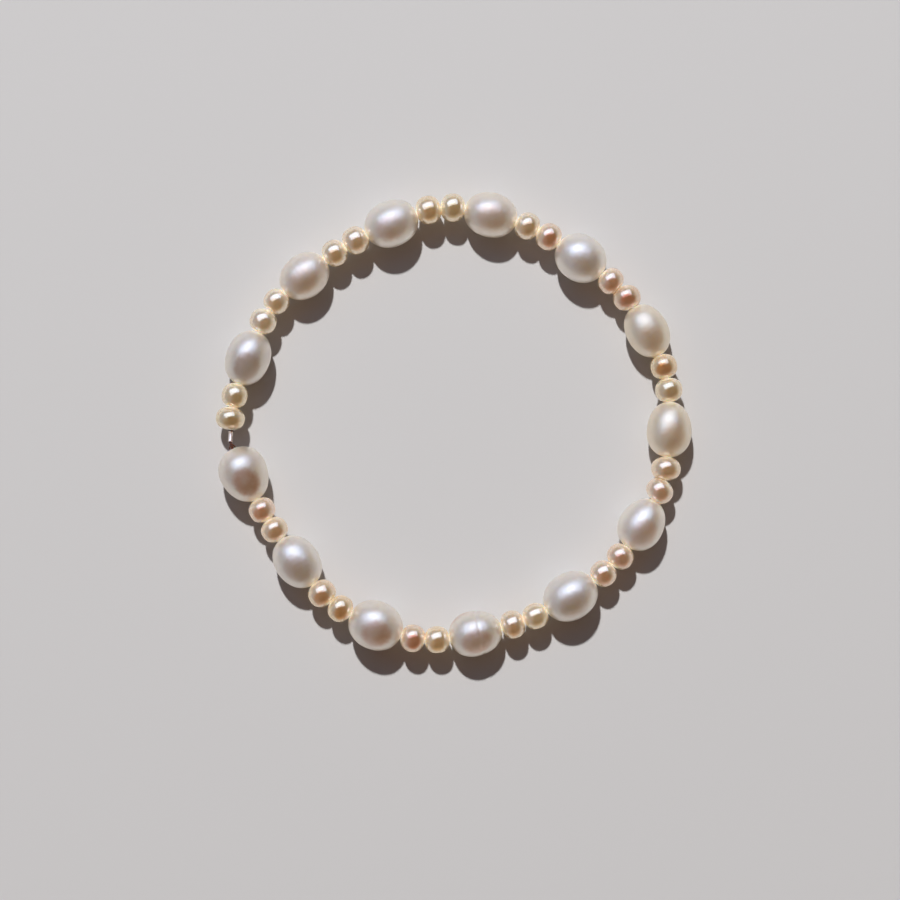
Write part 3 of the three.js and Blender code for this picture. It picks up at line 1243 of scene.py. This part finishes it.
WINDOW = (-0.09, 0.63, 0.77)
WINDOW_TURN = math.radians(15)
LAMPS = (
    Lamp("key", (-0.12, 0.60, 0.75), 3.0, (0.13, 0.13), 102.0, (1.0, 0.982, 0.961), Shown.MATT),
    Lamp("fill", (0.0, 0.0, 1.0), 2.0, (2.0, 2.0), 3.5, (1.0, 0.50, 0.29), Shown.MATT),
    Lamp("sky", WINDOW, 1.3, (2.0, 1.21), 1.75, (0.25, 0.65, 1.0), Shown.MATT, WINDOW_TURN),
    Lamp("window", WINDOW, 1.2, (1.95, 1.1), 9.5, (0.57, 0.71, 1.0), Shown.GLOSS, WINDOW_TURN),
    Lamp("pane", WINDOW, 1.1, (0.56, 0.34), 0.9, (1.0, 0.97, 0.9), Shown.GLOSS, WINDOW_TURN),
)


@dataclass
class Studio:
    """The pale floor, the soft light and the camera.

    Attributes:
        picture_width: Width of what the camera sees at the pearls' height, in metres.
        picture_offset: How far the picture's middle lies from the loop's middle.
        picture_turn: How far the camera is turned about the upright.
        camera_height: Distance of the camera above the floor.
        pearl_height: Height of the pearls' middles above the floor.
        sensor: Width of the camera's sensor, in millimetres.
        clip: Nearest and farthest distance that the camera sees.
        ceiling_colour: What glossy surfaces mirror of the room straight above.
        side_colour: What they mirror of it to the left.
        side_reach: Leftward part of the direction at which that is mirrored most.
        side_share: How far it then hides the rest.
        wall_colour: What they mirror of the room from the sides.
        wall_height: Upward part of the direction at which the walls have given way to the ceiling.
        floor_colour: Colour of the floor.
        floor_roughness: Roughness of its faint gloss.
        floor_size: Width of the floor.
        floor_drop: How far the floor lies below the pearls.
    """

    picture_width: float = 116.83 * MM
    picture_offset: Pair = (-0.46 * MM, -3.34 * MM)
    picture_turn: float = math.radians(0.377)
    camera_height: float = 0.36
    pearl_height: float = 3.0 * MM
    sensor: float = 36.0
    clip: Pair = (0.01, 10.0)
    ceiling_colour: Colour = (0.12, 0.07, 0.03)
    side_colour: Colour = (0.28, 0.27, 0.30)
    side_reach: float = 0.7
    side_share: float = 0.85
    wall_colour: Colour = (0.44, 0.385, 0.33)
    wall_height: float = 0.55
    floor_colour: Colour = srgb(203, 203, 204)
    floor_roughness: float = 0.6
    floor_size: float = 3.0
    floor_drop: float = 0.02 * MM

    def camera(self) -> None:
        """Puts the camera straight above the loop, its top towards +Y."""
        data = bpy.data.cameras.new("camera")
        data.sensor_width = self.sensor
        distance = self.camera_height - self.pearl_height
        data.lens = self.sensor * distance / self.picture_width
        data.clip_start, data.clip_end = self.clip
        made = add_object("camera", data)
        made.location = (*self.picture_offset, self.camera_height)
        made.rotation_euler = (0.0, 0.0, self.picture_turn)
        bpy.context.scene.camera = made

    def room(self) -> None:
        """Gives glossy surfaces pale walls, a dark ceiling and a light side to mirror."""
        world = bpy.data.worlds.new("room")
        bpy.context.scene.world = world
        world.cycles_visibility.diffuse = False
        world.use_nodes = True
        tree = world.node_tree
        place = add_node(tree, "TexCoord").outputs["Generated"]
        towards = add_node(tree, "SeparateXYZ", {"Vector": place}).outputs
        height = soft_range(tree, towards["Z"], 0.0, self.wall_height)
        side = soft_range(tree, towards["X"], 0.0, -self.side_reach, self.side_share)
        upright = mix(tree, height, (*self.wall_colour, 1.0), (*self.ceiling_colour, 1.0))
        whole = mix(tree, side, upright, (*self.side_colour, 1.0))
        set_inputs(tree.nodes["Background"], {"Color": whole})

    def floor(self) -> None:
        """Lays the pale floor under the loop."""
        half = self.floor_size / 2
        mesh = bpy.data.meshes.new("floor")
        corners = [(-half, -half), (half, -half), (half, half), (-half, half)]
        mesh.from_pydata([(x, y, -self.floor_drop) for x, y in corners], [], [(0, 1, 2, 3)])
        paint, _, shader = add_material("floor_paint")
        colour = (*self.floor_colour, 1.0)
        set_inputs(shader, {"Base Color": colour, "Roughness": self.floor_roughness})
        mesh.materials.append(paint)
        piece = add_object("floor", mesh)

    def build(self) -> None:
        """Sets the whole studio up."""
        self.camera()
        self.room()
        self.floor()
        for lamp in LAMPS:
            lamp.hang()
        bpy.context.scene.view_settings.view_transform = "Standard"


def write_sizes() -> None:
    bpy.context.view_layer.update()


def main() -> None:
    """Builds the bracelet and the studio, and reports each piece."""
    logging.basicConfig(level=logging.INFO, format="%(name)s: %(message)s")
    Studio().build()
    order = StringOrder()
    pieces = PearlString(order).build()
    crimp = CrimpTube(order.read("crimp_tube"))
    tube = crimp.build()
    crimp.dress(tube)
    thread = Thread(order)
    strands = thread.build()
    thread.dress(strands)
    for piece in [*pieces, tube, *strands]:
        LOG.info("%s has %d faces", piece.name, len(piece.data.polygons))
    write_sizes()


if __name__ == "__main__":
    main()
